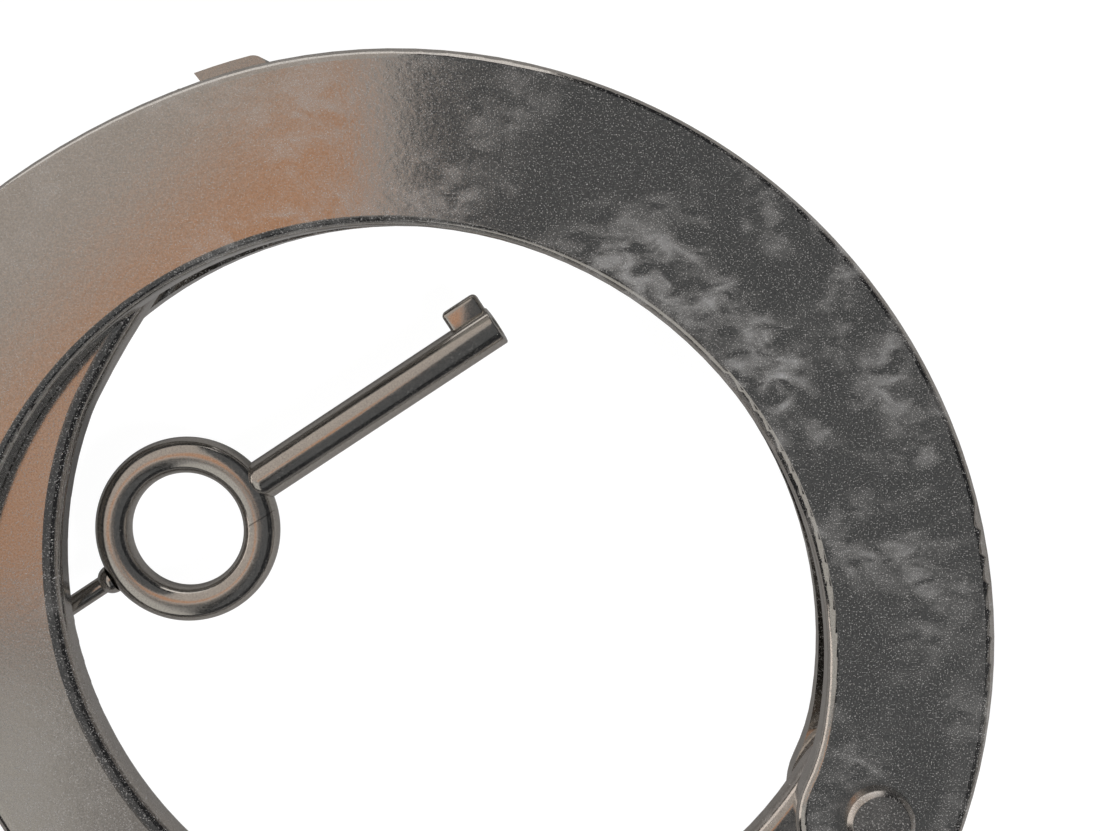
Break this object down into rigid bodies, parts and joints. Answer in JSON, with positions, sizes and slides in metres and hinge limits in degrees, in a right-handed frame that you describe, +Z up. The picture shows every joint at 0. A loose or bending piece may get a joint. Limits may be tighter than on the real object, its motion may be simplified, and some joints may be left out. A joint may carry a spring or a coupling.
{
  "type": "handcuffs",
  "caption": "Pair of chain-linked swing-through handcuffs with double-locking ratchets, lying flat, and their small hollow-barrel key.",
  "frame": {"origin": "midway along the chain, on the surface that the cuffs lie on", "axes": "+X along the chain towards the cuff that the key lies in, +Z up, out of the front cheeks"},
  "size_m": [0.2496, 0.082, 0.0113],
  "materials": {
    "nickel_cheek": "satin nickel plate with fine speckle",
    "nickel_jaw": "satin nickel plate with fine speckle",
    "nickel_rivet": "satin nickel plate",
    "nickel_chain": "polished nickel plate",
    "nickel_key": "polished nickel plate, darker",
    "lock_steel": "machined steel",
    "spring_steel": "blued spring steel"
  },
  "bodies": {
    "cuff_a": {"front_cheek_a": "nickel_cheek", "rear_cheek_a": "nickel_cheek", "pivot_rivet_a": "nickel_rivet", "case_rivets_a": "nickel_rivet", "case_spacer_a": "nickel_cheek", "pawl_pin_a": "lock_steel", "pawl_spring_a": "spring_steel", "detent_spring_a": "spring_steel", "key_post_a": "lock_steel"},
    "jaw_a": {"jaw_a": "nickel_jaw"},
    "pawl_a": {"pawl_a": "lock_steel"},
    "double_lock_bar_a": {"double_lock_bar_a": "lock_steel"},
    "swivel_a": {"swivel_a": "nickel_chain"},
    "chain_link_1": {"chain_link_1": "nickel_chain"},
    "chain_link_2": {"chain_link_2": "nickel_chain"},
    "swivel_b": {"swivel_b": "nickel_chain"},
    "cuff_b": {"front_cheek_b": "nickel_cheek", "rear_cheek_b": "nickel_cheek", "pivot_rivet_b": "nickel_rivet", "case_rivets_b": "nickel_rivet", "case_spacer_b": "nickel_cheek", "pawl_pin_b": "lock_steel", "pawl_spring_b": "spring_steel", "detent_spring_b": "spring_steel", "key_post_b": "lock_steel"},
    "jaw_b": {"jaw_b": "nickel_jaw"},
    "pawl_b": {"pawl_b": "lock_steel"},
    "double_lock_bar_b": {"double_lock_bar_b": "lock_steel"},
    "key": {"key_bow": "nickel_key", "key_barrel": "nickel_key", "key_pin": "nickel_key"}
  },
  "joints": [
    {"name": "jaw_a_swing", "type": "hinge", "parent": "cuff_a", "child": "jaw_a", "pos_m": [0.11639, -0.01604, 0.0051], "axis": [0, 0, 1], "continuous": true},
    {"name": "pawl_a_rock", "type": "hinge", "parent": "cuff_a", "child": "pawl_a", "pos_m": [0.03893, 0.0026, 0.0051], "axis": [0, 0, 1], "range_deg": [-7.5, 0], "stiffness_Nm_per_rad": 0.01, "springref_deg": -7.5},
    {"name": "double_lock_a_slide", "type": "slide", "parent": "cuff_a", "child": "double_lock_bar_a", "axis": [0, 1, 0], "range_m": [0, 0.0023]},
    {"name": "swivel_a_spin", "type": "hinge", "parent": "cuff_a", "child": "swivel_a", "pos_m": [0.02382, 0, 0.0051], "axis": [1, 0, 0], "continuous": true},
    {"name": "link_1_swing", "type": "hinge", "parent": "swivel_a", "child": "chain_link_1", "pos_m": [0.01413, 0, 0.0051], "axis": [0, 0, 1], "range_deg": [-80, 80]},
    {"name": "link_2_swing", "type": "hinge", "parent": "chain_link_1", "child": "chain_link_2", "pos_m": [0.00162, 0, 0.0051], "axis": [0, 0, -1], "range_deg": [-80, 80]},
    {"name": "swivel_b_swing", "type": "hinge", "parent": "chain_link_2", "child": "swivel_b", "pos_m": [-0.01738, 0, 0.0051], "axis": [0, 0, 1], "range_deg": [-80, 80]},
    {"name": "cuff_b_spin", "type": "hinge", "parent": "swivel_b", "child": "cuff_b", "pos_m": [-0.02382, 0, 0.0051], "axis": [1, 0, 0], "continuous": true},
    {"name": "jaw_b_swing", "type": "hinge", "parent": "cuff_b", "child": "jaw_b", "pos_m": [-0.11639, 0.01604, 0.0051], "axis": [0, 0, 1], "continuous": true},
    {"name": "pawl_b_rock", "type": "hinge", "parent": "cuff_b", "child": "pawl_b", "pos_m": [-0.03893, -0.0026, 0.0051], "axis": [0, 0, 1], "range_deg": [-7.5, 0], "stiffness_Nm_per_rad": 0.01, "springref_deg": -7.5},
    {"name": "double_lock_b_slide", "type": "slide", "parent": "cuff_b", "child": "double_lock_bar_b", "axis": [0, -1, 0], "range_m": [0, 0.0023]},
    {"name": "key_slide", "type": "slide", "parent": "cuff_a", "child": "key", "axis": [0.8425, 0.5388, 0], "range_m": [0, 0.004]}
  ]
}
